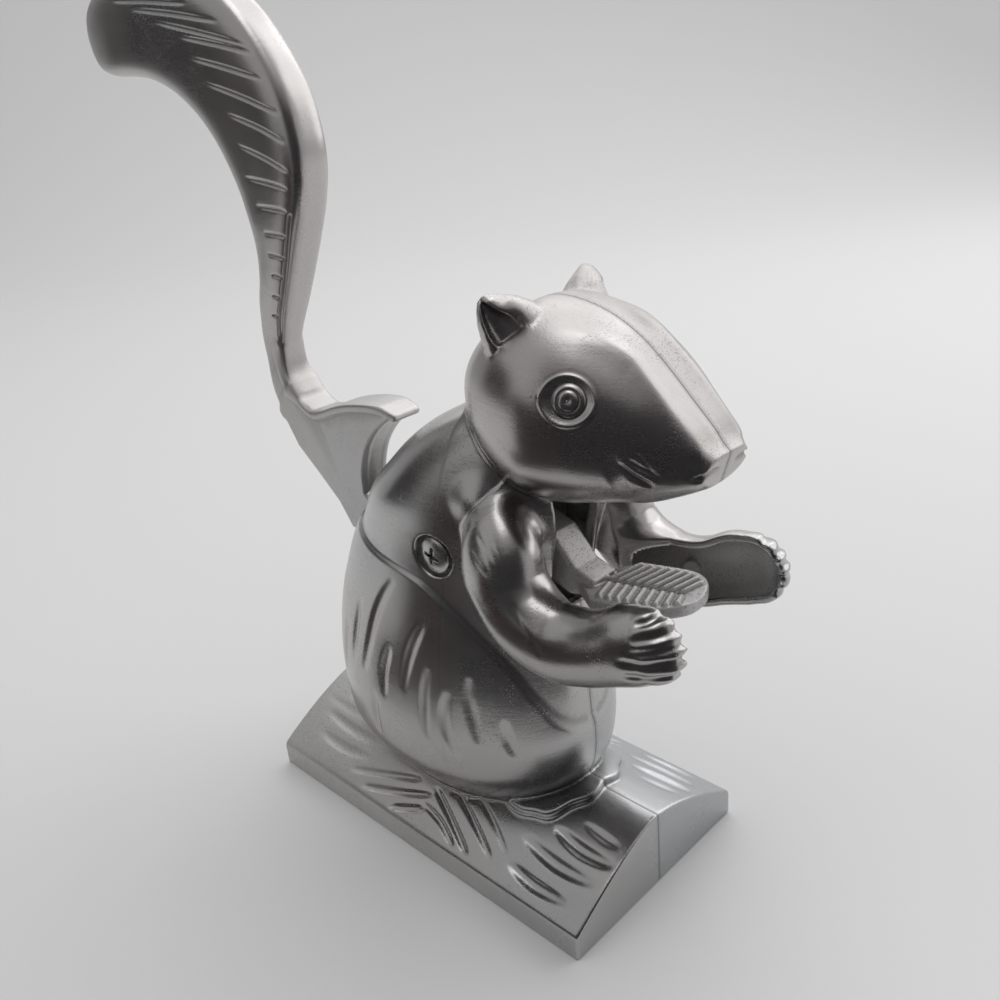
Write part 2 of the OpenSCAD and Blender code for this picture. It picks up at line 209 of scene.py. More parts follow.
def mesh_of(grid, field):
    """Surface nets: one point in each cell that the surface crosses, joined by quads."""
    s = field < 0
    n = np.array(field.shape) - 1
    count = np.zeros(n, np.int8)
    corners = list(np.ndindex(2, 2, 2))
    for i, j, k in corners:
        count += s[i:n[0] + i, j:n[1] + j, k:n[2] + k]
    cell = (count > 0) & (count < 8)
    index = np.full(n, -1, np.int32)
    index[cell] = np.arange(cell.sum())
    where = np.argwhere(cell)
    values = {c: field[tuple((where + c).T)].astype(float) for c in corners}
    total = np.zeros((len(where), 3))
    hits = np.zeros(len(where))
    for a in corners:
        for d in range(3):
            if a[d]:
                continue
            b = tuple(1 if e == d else a[e] for e in range(3))
            va, vb = values[a], values[b]
            m = (va < 0) != (vb < 0)
            t = np.where(m, va / np.where(m, va - vb, 1), 0)
            p = np.array(a, float)[None] + t[:, None] * np.eye(3)[d][None]
            total += p * m[:, None]
            hits += m
    points = grid.low + grid.h * (where + total / hits[:, None])
    quads = []
    for d in range(3):
        e, f = (d + 1) % 3, (d + 2) % 3
        lo = [slice(None)] * 3
        hi = [slice(None)] * 3
        lo[d], hi[d] = slice(0, -1), slice(1, None)
        cross = s[tuple(lo)] != s[tuple(hi)]
        for q in (e, f):
            cut = [slice(None)] * 3
            cut[q] = slice(0, 1)
            cross[tuple(cut)] = False
            cut[q] = slice(-1, None)
            cross[tuple(cut)] = False
        at = np.argwhere(cross)
        solid = s[tuple(at.T)]
        E, F = np.eye(3, dtype=int)[e], np.eye(3, dtype=int)[f]
        ring = [at - E - F, at - F, at, at - E]
        q = np.stack([index[tuple(r.T)] for r in ring], 1)
        q[~solid] = q[~solid][:, ::-1]
        quads.append(q)
    quads = np.concatenate(quads)
    return points, quads[(quads >= 0).all(1)]


def casting(names, grid, field, triangles, flip=False, patch=None, split=None, raw=None):
    """Turns a field into one object or two: meshed, put on the surface, thinned, and shaded with the field's
    own normals. Two attributes go with it: hollow, which darkens creases as painted shade and also carries
    the dark line at the joint, and raw, where the metal is left as cast."""
    points, quads = mesh_of(grid, field)
    gradient = np.gradient(field, np.float32(grid.h))
    for _ in range(2):
        v, gx, gy, gz = grid.read([field, *gradient], points)
        g = np.stack([gx, gy, gz], 1)
        points -= g * np.clip(v / np.maximum((g * g).sum(1), 0.2), -0.3, 0.3)[:, None]
    if len(quads) * 2 > triangles:
        me = bpy.data.meshes.new("dense")
        fill(me, points, quads)
        ob = linked("dense", me)
        ob.modifiers.new("thin", "DECIMATE").ratio = triangles / (2 * len(quads))
        thin = bpy.data.meshes.new_from_object(ob.evaluated_get(bpy.context.evaluated_depsgraph_get()))
        bpy.data.objects.remove(ob)
        bpy.data.meshes.remove(me)
        points = np.zeros(len(thin.vertices) * 3, np.float32)
        thin.vertices.foreach_get("co", points)
        points = points.reshape(-1, 3).astype(float)
        thin.calc_loop_triangles()
        faces = np.zeros(len(thin.loop_triangles) * 3, np.int32)
        thin.loop_triangles.foreach_get("vertices", faces)
        faces = faces.reshape(-1, 3)
        bpy.data.meshes.remove(thin)
    else:
        faces = np.concatenate([quads[:, :3], quads[:, [0, 2, 3]]])
    gx, gy, gz = grid.read(gradient, points)
    normal = np.stack([gx, gy, gz], 1)
    normal /= np.maximum(np.linalg.norm(normal, axis=1), 1e-6)[:, None]
    # creases, whose colour is darkened as painted shade: how much nearer the surface lies on the sides than
    # it would if it were flat
    reach = 1.2
    lift = grid.read([field], points + normal * reach)[0] - reach
    deep = grid.read([field], points - normal * reach)[0] + reach
    hollow = np.clip(-(lift + deep) * 1.2 - 0.05, 0, 1)
    cast, worn = raw(points) if raw else (np.zeros(len(points)), 0)
    hollow = np.maximum(hollow, worn)
    if patch:
        tri = np.concatenate([patch["quads"][:, :3], patch["quads"][:, [0, 2, 3]]]) + len(points)
        points = np.concatenate([points, patch["points"]])
        normal = np.concatenate([normal, patch["normals"]])
        hollow = np.concatenate([hollow, patch["hollow"]])
        cast = np.concatenate([cast, np.zeros(len(patch["points"]))])
        faces = np.concatenate([faces, tri])
    if flip:
        points, normal, faces = points * [-1, 1, 1], normal * [-1, 1, 1], faces[:, ::-1]
    groups = [faces]
    if split:
        above = split(points[faces].mean(1))
        groups = [faces[above], faces[~above]]
    made = []
    for name, part in zip(names, groups):
        used = np.unique(part)
        place = np.zeros(len(points), np.int64)
        place[used] = np.arange(len(used))
        me = bpy.data.meshes.new(name)
        fill(me, points[used] * MM, place[part])
        me.shade_smooth()
        for key, values in (("hollow", hollow), ("raw", cast)):
            layer = me.attributes.new(key, "FLOAT", "POINT")
            layer.data.foreach_set("value", values[used].astype(np.float32))
        me.normals_split_custom_set_from_vertices(normal[used].tolist())
        made.append(linked(name, me))
    return made


def linked(name, data):
    """A new object in the scene."""
    ob = bpy.data.objects.new(name, data)
    bpy.context.scene.collection.objects.link(ob)
    return ob


def fill(me, points, faces):
    """Puts points and faces of one kind into an empty mesh."""
    me.vertices.add(len(points))
    me.vertices.foreach_set("co", np.asarray(points, np.float32).ravel())
    me.loops.add(faces.size)
    me.loops.foreach_set("vertex_index", np.ascontiguousarray(faces, np.int32).ravel())
    me.polygons.add(len(faces))
    me.polygons.foreach_set("loop_start", np.arange(0, faces.size, faces.shape[1], dtype=np.int32))
    me.update(calc_edges=True)


# ---------------------------------------------------------------- stations of the figure

# Torso: height, middle along Y, half width, and reach to the front and to the back
TORSO = [
    [12, 4, 19, 33, 39], [20, 4, 24.3, 38.5, 42.5], [30, 4, 28.6, 44, 45], [42, 4, 30, 46.8, 45.5],
    [55, 4, 29.4, 46.8, 45], [68, 3.5, 28, 45.5, 42.5], [80, 2.5, 26.4, 44, 39], [90, 1, 25.6, 42, 36.5],
    [100, -0.5, 25.4, 42, 32.5], [108, -3, 25, 41, 30], [115, -6.5, 23, 37, 26.5], [122, -11, 20, 31, 23.5],
    [128, -16, 17, 24, 20], [133, -21, 14, 17, 15.5], [137.5, -27, 10.5, 12, 12], [141, -32, 7, 8, 8]]
# Head: place along Y, height of the middle, half width, and reach up and down
HEAD = [
    [-14, 141, 4, 4, 4], [-17, 141, 11, 10, 10], [-22, 141, 16, 15.5, 16], [-29, 140.5, 20.5, 21, 20.5],
    [-38, 140, 23.5, 25.2, 23.5], [-47, 139, 24.5, 26, 22.5], [-56, 137.5, 23, 25, 19],
    [-64, 136, 20, 22, 15.5], [-71, 134.5, 17, 17.5, 12.5], [-77, 133, 13.5, 13, 8.5],
    [-82, 132.5, 10.5, 8.5, 5.5], [-86, 132.5, 8.3, 4, 3.2], [-92, 132.5, 6, 2.5, 1.5]]
# Arm: place along Y, height, radius in the side view, middle along X and half thickness
ARM = [
    [-24.8, 112.7, 6.8, 15.5, 6], [-29, 109.2, 10.2, 18.8, 8.2], [-34.2, 103.2, 11.8, 21, 10],
    [-39, 96, 10.2, 22.5, 10], [-45, 90.6, 10.4, 23, 9.8], [-54, 88, 10.5, 23, 9],
    [-62, 89, 9.8, 22.5, 8.5], [-69, 91.5, 9.3, 22.5, 8], [-75.5, 94.5, 9.8, 22, 8],
    [-80, 96, 9.3, 21.5, 7.5]]
# Edge of the haunch in the side view, from the back to the knee and round the front
HAUNCH = [
    [60, 96], [35, 96], [22, 94.5], [11, 93], [2, 92], [-6.4, 90.2], [-12.3, 87], [-18, 82.8],
    [-23.7, 77.6], [-29.5, 71.3], [-33.2, 66], [-35.8, 60.8], [-38.4, 55.6], [-41, 50], [-46, 44],
    [-60, 38], [-60, 0], [60, 0]]
# Cuts of the fur on the haunch, seen on the near half
FUR = [
    [(-28.4, 3.4, 87.1), (-28.9, 7.4, 81.5), (-29.5, 10.7, 75.1), (-30.1, 13.7, 65.9), (-30, 16.9, 56)],
    [(-29, -8.4, 77.6), (-29.8, -5.3, 71.4), (-30.4, -3.2, 65.3), (-30.8, -1.3, 57.1)],
    [(-30.7, 4.3, 67.2), (-30.9, 6.9, 59.5), (-30.9, 7.6, 51.6)],
    [(-29.6, -10.3, 64.2), (-30, -9.1, 58.3), (-30.2, -8.5, 51.3), (-30, -8.6, 44.1)],
    [(-28.5, -16.3, 58.5), (-28.8, -15, 52.8), (-28.5, -15.4, 46.7), (-27.9, -17.5, 41)],
    [(-25.9, -22.7, 64.1), (-26.2, -22.6, 58.6), (-25.9, -23.4, 52.2), (-25.7, -23.9, 46.9)],
    [(-21.8, -30.8, 51.8), (-21.5, -31.2, 47.1), (-20.8, -32.1, 42.8)],
    [(-27.7, 18.9, 76.3), (-28.5, 21.5, 66), (-28.5, 23.5, 56)],
    [(-26, 28, 66), (-26, 30.5, 56), (-25, 32, 47)],
    [(-29.5, 12, 48), (-29, 13, 42), (-28, 13, 36)],
    [(-20, 38, 60), (-20, 39.5, 50), (-19, 40, 42)]]
# Bark on the log, seen from above: line, width, depth and how full the ends are
BARK = [
    ([(-21.6, 57), (-22.6, 42), (-22, 27)], 3.6, 0.9, 2),
    ([(-27.9, 53), (-28.2, 41), (-27, 30)], 3.6, 0.9, 2),
    ([(-13.3, 54), (-13.5, 50), (-12.8, 46)], 2.4, 0.35, 2),
    ([(-17.5, 60), (-17.9, 50), (-17.6, 40)], 2.4, 0.3, 2),
    ([(-31.9, 32.8), (-28, 19), (-24.4, 6.8)], 2.2, 0.8, 5),
    ([(-34.1, 25), (-30.5, 12), (-26.5, 0.1)], 2.2, 0.8, 5),
    ([(-34.6, 10.9), (-32.5, 5), (-30.4, -0.4)], 2.4, 0.8, 4),
    ([(-24.4, -0.1), (-29, -11), (-34, -22.2)], 2.0, 0.7, 5),
    ([(-29.3, 1.1), (-30.9, -8), (-34.1, -16.5)], 2.0, 0.6, 4),
    ([(-21.5, -6), (-25.5, -16), (-31.6, -29.7)], 2.0, 0.6, 4),
    ([(-19.5, -12), (-23.5, -23), (-28.5, -33)], 1.6, 0.35, 3),
    ([(-17.4, -43), (-18.8, -53), (-18.4, -63)], 4.4, 1.1, 2),
    ([(-23.3, -36), (-24.8, -49), (-24.3, -61)], 4.2, 0.9, 2),
    ([(-30.3, -36), (-31.4, -46), (-31, -57)], 4.0, 1.0, 2),
    ([(-12.5, -50), (-13.2, -56), (-13.6, -61)], 2.6, 0.5, 2)]
# Creases between the fingers
HAND = [
    [(-25.7, -79.5, 103), (-24.6, -81.5, 103.6), (-22.4, -82.6, 104.2), (-19.5, -83, 104.6)],
    [(-27.5, -80, 100.2), (-26, -83.8, 101.4), (-23.5, -85.8, 102), (-20.5, -86.6, 101.9),
     (-18, -86.6, 101.5)],
    [(-28.6, -79.5, 97), (-27.2, -84.2, 98.4), (-24.6, -86.8, 99.2), (-20.5, -87.6, 99),
     (-17, -87.5, 98.6)],
    [(-29.3, -77, 94.6), (-28.2, -82.5, 95.2), (-26, -86, 96.2), (-22, -87.6, 96), (-17.5, -87.5, 95.4)],
    [(-28.5, -78, 91), (-27.6, -82.5, 91.2), (-25.4, -85.8, 92.4), (-21.5, -87, 92.6), (-17.5, -86.8, 92.2)]]
# Faint lines on the shoulder and the upper arm
ARM_LINES = [
    [(-27.7, -33.2, 112.4), (-29.2, -36.9, 110.6), (-30.7, -41.2, 107.2), (-31.4, -45.6, 102.5)],
    [(-27.5, -34.9, 113.6), (-28.7, -38.5, 111.6), (-29.8, -42.1, 108.7), (-30.7, -45.8, 104.1)],
    [(-29.3, -32.5, 108.2), (-30.6, -36.3, 106.2), (-31.1, -39, 104.8)],
    [(-31.8, -47.3, 99.4), (-31.9, -49.5, 95.9), (-31.7, -52.8, 92.1), (-31.6, -55.6, 89)]]
# Cheek fold, whisker lines and mouth: line, width, depth and how full the ends are
MOUTH = [
    ([(-18.3, -68.6, 137), (-17.6, -69, 132.4), (-14.5, -69.2, 127)], 5.0, 0.55, 3),
    ([(-17.8, -69.6, 135.4), (-16.1, -72.3, 132.9), (-13.7, -75.8, 130.3)], 1.5, 0.75, 3),
    ([(-16.6, -71.6, 136.6), (-15.4, -73.8, 134.8), (-13.3, -77.3, 132.6)], 1.3, 0.6, 3),
    ([(-15.9, -72.3, 138.2), (-15.1, -73.9, 136.7), (-14, -76.1, 133.9)], 1.1, 0.35, 3),
    ([(-9.6, -83, 132), (-8, -85, 132.9), (-6, -85.9, 133.1), (-3, -86, 132.6)], 1.4, 0.7, 4)]
# Crease that runs down the forehead and the snout: distance from the middle at places along Y
CREASE = ([-90, -83, -76, -67, -58, -50, -40], [7.8, 7.8, 8.1, 7.6, 10.5, 13.5, 15])
EYE = (-20.1, -58.4, 148.6)
# Ear: base, and axes outwards, to the front and up to the tip. Its sections: height, middle outwards and half
# sizes. Sections of its cup: the same, with the middle to the front before the last
EAR_BASE = np.array([13.7, -39.2, 160.5])
EAR_AXES = np.array([[0.753, 0.438, -0.5], [0.622, -0.73, 0.297], [0.232, 0.529, 0.816]])
EAR = np.array([
    [-6, 0.3, 8.8, 7.6], [0, 0.3, 8.5, 7.3], [3, 0.7, 7.4, 6.3], [6, 1.2, 5.7, 4.6], [8.6, 1.9, 3.4, 2.7],
    [10.2, 2.3, 1.5, 1.2], [10.7, 2.4, 0.5, 0.5]])
CUP = np.array([
    [-2, 3.2, 4.9, 7.4, 8.4], [3, 3.4, 3.7, 6.5, 7.0], [6, 3.6, 2.3, 5.6, 5.8], [8.6, 3.3, 1, 3.5, 3.3],
    [9.6, 3.0, 0.3, 3, 2.6]])


def sections(run, at):
    """The four sizes of a run of sections at places along it."""
    return [np.interp(at, run[:, 0], run[:, i]) for i in range(1, 5)]


def eye_patch(g, skin):
    """The eye as a fine polar mesh: a socket with raised lids, and the ball with its engraved rings."""
    reach, ball_radius, socket = 8.9, 4.0, 0.7
    c0, n0 = g.seat(skin, [np.array(EYE) * [-1, 1, 1]])
    c0, n0 = c0[0], n0[0]
    u = np.array([0, -1.0, -0.12])
    u = u - n0 * (u @ n0)
    u /= np.linalg.norm(u)
    v = np.cross(u, n0)
    v = v if v[2] > 0 else -v
    rings, spokes = ((72, 120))
    r = reach * np.linspace(0, 1, rings) ** 0.9
    t = np.arange(spokes) * 2 * np.pi / spokes
    a, b = r[:, None] * np.cos(t), r[:, None] * np.sin(t)
    base, n = g.seat(skin, (c0 + a.reshape(-1, 1) * u + b.reshape(-1, 1) * v), 8)
    almond = np.maximum(np.hypot(a, b + 1.0), np.hypot(a + 0.4, b - 0.9)) - 6.3
    rad = np.hypot(a - 0.2, b)
    h = -socket * step01(-almond, -0.2, 2.6)
    h = h + 0.42 * np.exp(-((almond - 0.2) / 0.7) ** 2) * step01(-b, -1.5, 2)
    h = h + 0.2 * np.exp(-((almond - 0.2) / 0.5) ** 2) * step01(b, -1, 2)
    h = h * step01(-rad, -8.3, -7.4)
    ball = 1.3 * np.maximum(0, 1 - (rad / ball_radius) ** 2) ** 0.45
    ball = ball - 0.26 * np.exp(-((rad - 2.4) / 0.4) ** 2) - 0.3 * np.exp(-(rad / 0.8) ** 2)
    h = smax(h, -0.75 + ball - 0.35 * (rad > ball_radius), 0.15)
    h = h + 0.04 * step01(rad, 6.5, 7.5)
    points = base.reshape(rings, spokes, 3) + n.reshape(rings, spokes, 3) * h[..., None]
    du = np.gradient(points, axis=0)
    dv = np.roll(points, -1, 1) - np.roll(points, 1, 1)
    normal = np.cross(du, dv)
    normal *= np.sign((normal * n.reshape(rings, spokes, 3)).sum(-1, keepdims=True))
    normal /= np.maximum(np.linalg.norm(normal, axis=-1, keepdims=True), 1e-9)
    normal[0] = n0
    i, j = np.meshgrid(np.arange(rings - 1), np.arange(spokes), indexing="ij")
    k = (j + 1) % spokes
    near, far = i * spokes, (i + 1) * spokes
    quads = np.stack([near + j, far + j, far + k, near + k], -1).reshape(-1, 4)
    # painted shade: the concave places of the eye go into the hollow attribute, which darkens their colour
    lap = np.clip(-(np.gradient(np.gradient(h, axis=0), axis=0)) * 40, -1, 1)
    p = points.reshape(-1, 3)
    q = quads[len(quads) // 2]
    if np.cross(p[q[1]] - p[q[0]], p[q[2]] - p[q[0]]) @ n0 < 0:
        quads = quads[:, ::-1]
    return {"at": c0, "points": p, "normals": normal.reshape(-1, 3), "quads": quads,
            "hollow": np.clip(-lap, 0, 1).ravel()}


def half_figure():
    """Field of one half, on the -X side turned to +X, without the screws' seats."""
    g = Grid((SEAM - 2.5 * STEP, -92, -2.5 * STEP), (38, 67.5, 171.5), STEP)
    X, Y, Z = np.abs(g.x), g.y, g.z
    # torso
    yc, hw, fr, bk = sections(smooth_run(TORSO), g.z.ravel())
    yc, hw, fr, bk = (a[None, None, :].astype(np.float32) for a in (yc, hw, fr, bk))
    p = 2 / 0.95
    dep = fr + (bk - fr) * step01(Y - yc, -14, 14)
    f = ((X / hw) ** p + (np.abs(Y - yc) / dep) ** p) ** (1 / p) - 1
    torso = smax(g.unit(f), Z - 140, 3)
    # haunch, which stands proud inside its edge
    y2, z2 = g.y[0], g.z[0]
    d2 = -outline(y2, z2, smooth_run(HAUNCH[:-3], 4).tolist() + HAUNCH[-3:])
    swell = step01(d2, -0.7, 0.8) * (0.9 + 2.1 * (1 - np.exp(-np.maximum(d2, 0) / 11)))
    swell = swell * step01(z2 + 0 * y2, 12, 34)
    body = torso - widen(swell)
    # head
    yy = g.y.ravel()
    zc, hw, up, dn = sections(smooth_run(HEAD)[::-1], yy)
    zc, hw, up, dn = (a[None, :, None].astype(np.float32) for a in (zc, hw, up, dn))
    snout = step01(-Y, 58, 74)
    p = (2.22 + 0.3 * snout * step01(Z - zc + 0 * Y, -2, 6)).astype(np.float32)
    side = dn + (up - dn) * step01(Z - zc, -5, 5)
    f = ((X / hw) ** p + (np.abs(Z - zc) / side) ** p) ** (1 / p) - 1
    head = g.unit(f)
    line = np.interp(yy, *CREASE)[None, :, None].astype(np.float32)
    high = (0.75 * step01(-Y, 46, 62)).astype(np.float32)
    head = head - high * np.exp(-((X - line) / 2.6) ** 2) * step01(Z - zc, 2, 6)
    head = smax(head, (-Y - 86) * 0.95 - (Z - 134.5) * 0.3, 0.7)
    head = smax(head, Y + 14, 2)
    # arm
    run = smooth_run(ARM, 16)
    d, place = along(y2, z2, run[:, :2])
    at = np.arange(len(run))
    r, xc, th = (widen(np.interp(place, at, run[:, i])) for i in (2, 3, 4))
    d = widen(d)
    arm = np.maximum(g.unit(np.sqrt((d / r) ** 2 + ((X - xc) / th) ** 2) - 1), d - 13)
    # log
    top = log_top(X)
    above, beside, beyond = (Z - top) * 0.92, X - LOG_WIDE, np.abs(Y) - LOG_LONG
    log = smax(smax(above, beside, 1.2), beyond, 0.8)
    log_in = np.maximum(np.maximum(above + WALL, beside + WALL), beyond + WALL)
    # feet: a low slab on the log, with three toes on each side
    plan = np.sqrt((X / 19) ** 2 + ((Y + 29) / 18) ** 2)
    toes = 0.55 * np.cos(np.arctan2(-(Y + 29), X) * 9 + 1.2) * step01(-Y, 30, 38)
    foot = smax(smax((Z - top - 2.5) * 0.92, (plan - 1) * 16.5 - toes, 0.9), -Z, 0.5)
    # ear
    tip = EAR_BASE + EAR_AXES[2] * 11
    s, ex, ey, ez = g.near([EAR_BASE - 9, EAR_BASE + 9, tip], 4)
    rel = (ex - EAR_BASE[0], ey - EAR_BASE[1], ez - EAR_BASE[2])
    a, b, c = (sum(v[i] * rel[i] for i in range(3)) for v in EAR_AXES)

    def cone(run, middle_b, power=2.0):
        """A tapered form round the ear's axis."""
        mid, ha = np.interp(c, run[:, 0], run[:, 1]), np.interp(c, run[:, 0], run[:, 2])
        hb = np.interp(c, run[:, 0], run[:, -1])
        f = np.abs((a - mid) / ha) ** power + np.abs((b - middle_b(c)) / hb) ** power
        return (f ** (1 / power) - 1) * np.minimum(ha, hb)

    ear = smax(cone(EAR, lambda c: np.interp(c, [0, 9], [-3.2, 0])), c - 10.6, 0.4)
    shelf = smax((1.2 + np.where(c > 0, 0.75, 1.0) * c - b) * 0.75, -1.6 - a, 0.8)
    ear = smax(ear, -shelf, 1.2)
    cup = smax(cone(CUP, lambda c: np.interp(c, CUP[:, 0], CUP[:, 3]), 2.6), -(c + 0.6), 0.5)
    # union of the outsides, with a collar where the head sits in the shoulders
    near_head = np.abs(head - 0.5) - 0.55
    collar = smax(near_head, body - 0.9, 0.3)
    outer = smin(smin(body, head, 0.6), collar, 0.3)
    outer[s] = smax(smin(outer[s], ear, 1.0), -cup, 0.5)
    ground = smin(log, foot, 0.7)
    lip = smax(body - 0.45, ground - 0.8, 0.3)
    outer = smin(smin(outer, ground, 0.5), lip, 0.3)
    # grooves of the fur, the mouth and the bark, on the skin
    flip = np.array([-1, 1, 1])
    for line in FUR:
        g.groove(outer, np.array(line) * flip, 3.2, 0.7, 0.8, 2.2)
    for line, wide, deep, ends in MOUTH:
        g.groove(outer, np.array(line) * flip, wide, deep, 0.2, ends)
    for line, wide, deep, ends in BARK:
        pts = [(-x, y, log_top(x)) for x, y in line]
        g.groove(outer, pts, wide, deep, 0.45, ends)
    # the eye has a fine patch of its own, and the casting lies just under it
    eye = eye_patch(g, outer)
    s, ex, ey, ez = g.near([eye["at"]], 10)
    far = np.sqrt((ex - eye["at"][0]) ** 2 + (ey - eye["at"][1]) ** 2 + (ez - eye["at"][2]) ** 2)
    outer[s] = outer[s] + 1.9 * step01(-far, -7.3, -6.6) * step01(-np.abs(head[s]), -5, -4)
    # arm, open on its inner side, with its fingers
    side_plane = np.interp(-yy, [44, 56], [13.5, 20])[None, :, None].astype(np.float32)
    sleeve = smax(arm, (side_plane - X) * 0.88, 0.4)
    for line in HAND:
        g.groove(sleeve, np.array(line) * flip, 2.3, 0.7, 0.6, 6)
    for line in ARM_LINES:
        g.groove(sleeve, np.array(line) * flip, 1.3, 0.13, 0.3)
    outer = smin(outer, sleeve, 0.8 + 4.4 * step01(Z - 0.35 * Y, 109, 126))
    # hollow inside
    inner = np.minimum(np.minimum(torso + WALL, head + WALL), np.maximum(log_in, -Z - 40))
    tie_boss = off_axis(TIE, Y, Z) - TIE_BOSS
    bosses = np.where(X > 6.1, np.minimum(off_axis(PIVOT, Y, Z) - PIVOT_BOSS, tie_boss), tie_boss)
    for pin in PINS:
        bosses = np.minimum(bosses, off_axis(pin, Y, Z) - PIN_BOSS)
    inner = smax(inner, -bosses.astype(np.float32), 1.0)
    arm_in = smax(arm + ARM_WALL, 11.5 - X, 0.5)
    inner = smin(inner, arm_in, 1.5)
    field = smax(outer, -inner, 0.7)
    # ejector mark in the far hand's hollow, openings of the chest and of the back
    mark = (29, -57.3, 85.2)
    s, ex, ey, ez = g.near([mark], 6)
    disc = np.maximum(off_axis(mark[1:], ey, ez) - 3, np.abs(ex - mark[0]) - 1.6)
    field[s] = smin(field[s], smax(disc, outer[s] + 0.3, 0.2), 0.25)
    chest = np.maximum(np.maximum(np.abs(Y + 44) - 16, np.abs(Z - 100.25) - 16.25), X - 8)
    slot = np.maximum(np.maximum(np.abs(Y - 38) - 30, np.abs(Z - 78.5) - 28.5), X - 6.5)
    field = smax(field, -np.minimum(chest, slot), 0.6)
    # parting plane and underside
    field = smax(field, SEAM - X + 0 * Y, 0.35)
    field = smax(field, -Z + 0 * X, 0.5)
    return g, field, outer, eye


def bores(g, field, blind):
    """Cuts the seats and bores of the screws and pins into a half; blind where the tie screw ends inside."""
    X, Y, Z = g.x, g.y, g.z
    pivot, tie = off_axis(PIVOT, Y, Z), off_axis(TIE, Y, Z)
    cut = np.minimum(pivot - PIVOT_BORE, np.maximum(pivot - 6.1, PIVOT_SEAT - X))
    if blind:
        cut = np.minimum(cut, np.maximum(tie - TIE_BORE, X - 15))
    else:
        cut = np.minimum(cut, np.minimum(tie - TIE_BORE, np.maximum(tie - 4.8, TIE_SEAT - X)))
    for pin in PINS:
        cut = np.minimum(cut, np.maximum(off_axis(pin, Y, Z) - PIN_BORE, X - 5.5))
    return smax(field, -cut.astype(np.float32), 0.35)


half_grid, half, skin, eye = half_figure()


def bare(matt):
    """How raw the metal is at points of a half, and what is dark there: its inner side is left as cast, the
    top of the head and the log's rear are matt, and the joint between the halves draws a dark line."""
    def at(points):
        x, y, z = points.T
        top = step01(z - np.interp(y, [-90, -60, -40], [134, 150, 157]), -1, 2)
        top = top * step01(np.interp(-y, [15, 30], [0, 1]), 0, 1)
        top = top * step01(-(x - np.interp(y, *CREASE)), -2, 2)
        spot = np.exp(-((x - 5.5) / 3.2) ** 2 - ((y + 59.5) / 5.5) ** 2) * (z > 140) * (matt > 0.5)
        inside = step01(-half_grid.read([skin], points)[0], 0.9, 1.6)
        rear = step01(y - 1.2 * (x - 20), -4, 26) * step01(-z, -27, -20)
        worn = np.maximum(0.3 * spot, 0.9 * (x < SEAM + 0.35))
        return np.maximum.reduce([inside, matt * top, spot, rear]), worn
    return at


def upper(middles):
    """Which faces belong to the upper mesh of a half, by their middles."""
    return middles[:, 2] > PARTED


HALF_TRIANGLES = 296000
right = casting(["casting.right_upper", "casting.right_lower"], half_grid, bores(half_grid, half, True),
                HALF_TRIANGLES, True, eye, upper, bare(0.35))
left = casting(["casting.left_upper", "casting.left_lower"], half_grid, bores(half_grid, half, False),
               HALF_TRIANGLES, False, eye, upper, bare(0.65))
del half, skin

# ---------------------------------------------------------------- lever

# Tail in the side view: edge on the back, edge on the front, and half width
TAIL = [
    [158, 232, 158, 226, 3], [152, 240, 151, 221, 6], [140, 246, 142, 219, 7.5], [122, 249, 131, 218.5, 8],
    [104, 249, 119, 217, 8], [87, 245, 107, 213, 8], [71, 237, 97, 207, 8], [60, 227, 89.5, 200, 8],
    [51, 214, 84, 192, 8], [47.5, 202, 80, 184, 8], [47.5, 192, 77.5, 175.5, 8], [50.5, 182, 77, 167.5, 8],
    [55.5, 172, 78.5, 160, 7.5], [61, 161.5, 81.5, 153, 7], [66.5, 151.5, 83.5, 146, 6],
    [71.5, 142, 84.5, 140, 5], [73.5, 135, 84, 132, 4.8], [73, 129, 83, 122, 5.2],
    [68.5, 123.5, 79, 113, 5.2]]
# Flange of the plate: place along Y, height and half width
FLANGE = [
    [75.2, 138, 3.6], [74.4, 131.5, 4.4], [71.5, 126, 5.2], [67, 121.6, 5.8], [61.5, 119.2, 6],
    [56, 120.3, 6], [49, 123, 6], [42, 125, 6], [34, 126.4, 6], [27, 126.8, 5.7], [22, 125.4, 5]]
# Outlines of the plate and the neck in the side view
ARC = [[24.5, 123], [30, 119], [35, 113.6], [38, 108.5], [40, 102.5], [40.5, 96]]
PLATE_TOP = [[34, 90], [20, 95], [4, 102], [-8, 107]]
PLATE_BOTTOM = [[-14, 90], [4, 86], [22, 79], [36, 72.5], [44, 73.5], [50, 82], [55, 89.5], [64, 97.5],
                [73, 105], [79.5, 116]]
NECK = [[-12, 107], [-28, 107], [-37, 104], [-44, 96], [-50, 94], [-50, 90], [-42, 88], [-30, 92], [-14, 90]]
# Cuts on the tail's sides: the fur's, except the five of the ladder in between
TAIL_GROOVES = [
    [(106.2, 233.4), (80.9, 228.7), (61, 224.5)], [(93.7, 228.6), (73.7, 225.4), (58.7, 222.5)],
    [(89.8, 222.8), (70.9, 219.2), (55.9, 215.8)], [(84.2, 215.9), (65, 211.3), (50.8, 206.9)],
    [(75.1, 207.3), (60, 203.4), (50, 199.5)], [(72.3, 198.8), (59.3, 195.2), (50.5, 191.6)],
    [(71.4, 189.8), (59.9, 188.5), (52.3, 187)], [(68, 181.9), (59.7, 181.4), (54.6, 180.7)],
    [(66.3, 174.3), (60.8, 174), (57.6, 173.3)], [(66.7, 168.1), (63, 167.5), (60.3, 166.7)],
    [(67.4, 161.7), (64.9, 161.3), (63.3, 160.7)], [(69.6, 155), (68, 154.7), (66.8, 154.3)],
    [(72.7, 148.4), (71.3, 148.2), (70.3, 147.9)],
    [(118, 237.5), (94, 234.5), (72, 231)], [(128, 240.5), (108, 239), (86, 236.5)]]


